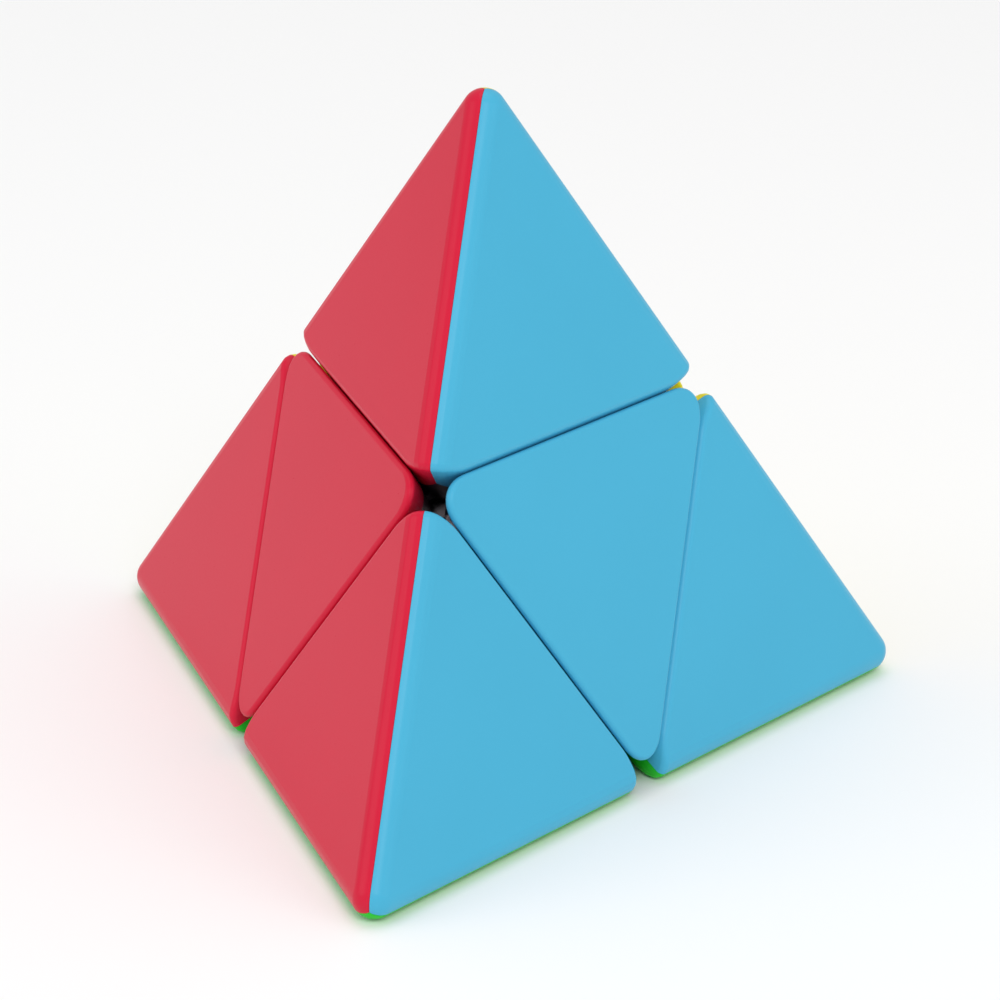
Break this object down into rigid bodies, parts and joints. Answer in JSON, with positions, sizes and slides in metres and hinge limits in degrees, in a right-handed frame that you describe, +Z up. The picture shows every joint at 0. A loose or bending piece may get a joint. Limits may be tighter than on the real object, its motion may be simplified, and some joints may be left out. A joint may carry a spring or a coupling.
{
  "type": "pyramid twisty puzzle",
  "caption": "Tetrahedral twisty puzzle cut into corner and face-centre cubies that turn on crossing axes about a sprung screw core.",
  "frame": {"origin": "centre of the green face that the puzzle stands on, under the top corner", "axes": "+Z up through the top corner; -Y towards the near corner, where the red and blue faces meet; +X to the right"},
  "size_m": [0.0742, 0.0649, 0.0613],
  "materials": {
    "red_shell": "satin",
    "blue_shell": "satin",
    "yellow_shell": "satin",
    "green_shell": "satin",
    "mechanism": "satin",
    "screw_steel": "zinc plated",
    "spring_steel": "bright drawn wire",
    "washer_steel": "zinc plated"
  },
  "bodies": {
    "base": {"core": "mechanism", "axis_screws": "screw_steel", "axis_springs": "spring_steel", "axis_washers": "washer_steel", "cap_back": "mechanism", "cap_low_left": "mechanism", "cap_low_right": "mechanism", "slider_back_low_left": "mechanism", "slider_back_low_right": "mechanism", "slider_low_left_low_right": "mechanism", "foot_centre_green": "mechanism", "shell_centre_green": "green_shell"},
    "front_layer": {"cap_front": "mechanism", "slider_front_low_left": "mechanism", "slider_front_low_right": "mechanism", "foot_near": "mechanism", "shell_near_green": "green_shell", "shell_near_blue": "blue_shell", "shell_near_red": "red_shell"},
    "right_layer": {"cap_right": "mechanism", "slider_right_low_right": "mechanism", "slider_right_back": "mechanism", "foot_right": "mechanism", "shell_right_blue": "blue_shell", "shell_right_green": "green_shell", "shell_right_yellow": "yellow_shell"},
    "left_layer": {"cap_left": "mechanism", "slider_left_low_left": "mechanism", "slider_left_back": "mechanism", "foot_left": "mechanism", "shell_left_red": "red_shell", "shell_left_yellow": "yellow_shell", "shell_left_green": "green_shell"},
    "blue_centre": {"slider_front_right": "mechanism", "foot_centre_blue": "mechanism", "shell_centre_blue": "blue_shell"},
    "red_centre": {"slider_front_left": "mechanism", "foot_centre_red": "mechanism", "shell_centre_red": "red_shell"},
    "yellow_centre": {"slider_right_left": "mechanism", "foot_centre_yellow": "mechanism", "shell_centre_yellow": "yellow_shell"},
    "top_corner": {"foot_top": "mechanism", "shell_top_yellow": "yellow_shell", "shell_top_red": "red_shell", "shell_top_blue": "blue_shell"}
  },
  "joints": [
    {"name": "front_turn", "type": "hinge", "parent": "base", "child": "front_layer", "pos_m": [0, 0, 0.01633], "axis": [0, -0.8165, 0.5774], "continuous": true},
    {"name": "right_turn", "type": "hinge", "parent": "base", "child": "right_layer", "pos_m": [0, 0, 0.01633], "axis": [0.7071, 0.4082, 0.5774], "range_deg": [-360, 360]},
    {"name": "left_turn", "type": "hinge", "parent": "base", "child": "left_layer", "pos_m": [0, 0, 0.01633], "axis": [-0.7071, 0.4082, 0.5774], "range_deg": [-360, 360]},
    {"name": "blue_centre_turn", "type": "hinge", "parent": "front_layer", "child": "blue_centre", "pos_m": [0, 0, 0.01633], "axis": [0.7071, 0.4082, 0.5774], "range_deg": [-360, 360]},
    {"name": "red_centre_turn", "type": "hinge", "parent": "front_layer", "child": "red_centre", "pos_m": [0, 0, 0.01633], "axis": [-0.7071, 0.4082, 0.5774], "range_deg": [-360, 360]},
    {"name": "yellow_centre_turn", "type": "hinge", "parent": "right_layer", "child": "yellow_centre", "pos_m": [0, 0, 0.01633], "axis": [-0.7071, 0.4082, 0.5774], "range_deg": [-360, 360]},
    {"name": "top_corner_turn", "type": "hinge", "parent": "blue_centre", "child": "top_corner", "pos_m": [0, 0, 0.01633], "axis": [-0.7071, 0.4082, 0.5774], "range_deg": [-360, 360]}
  ],
  "couplings": [
    {"joint": "blue_centre_turn", "follows": "right_turn", "ratio": 1},
    {"joint": "red_centre_turn", "follows": "left_turn", "ratio": 1},
    {"joint": "yellow_centre_turn", "follows": "left_turn", "ratio": 1},
    {"joint": "top_corner_turn", "follows": "left_turn", "ratio": 1}
  ]
}
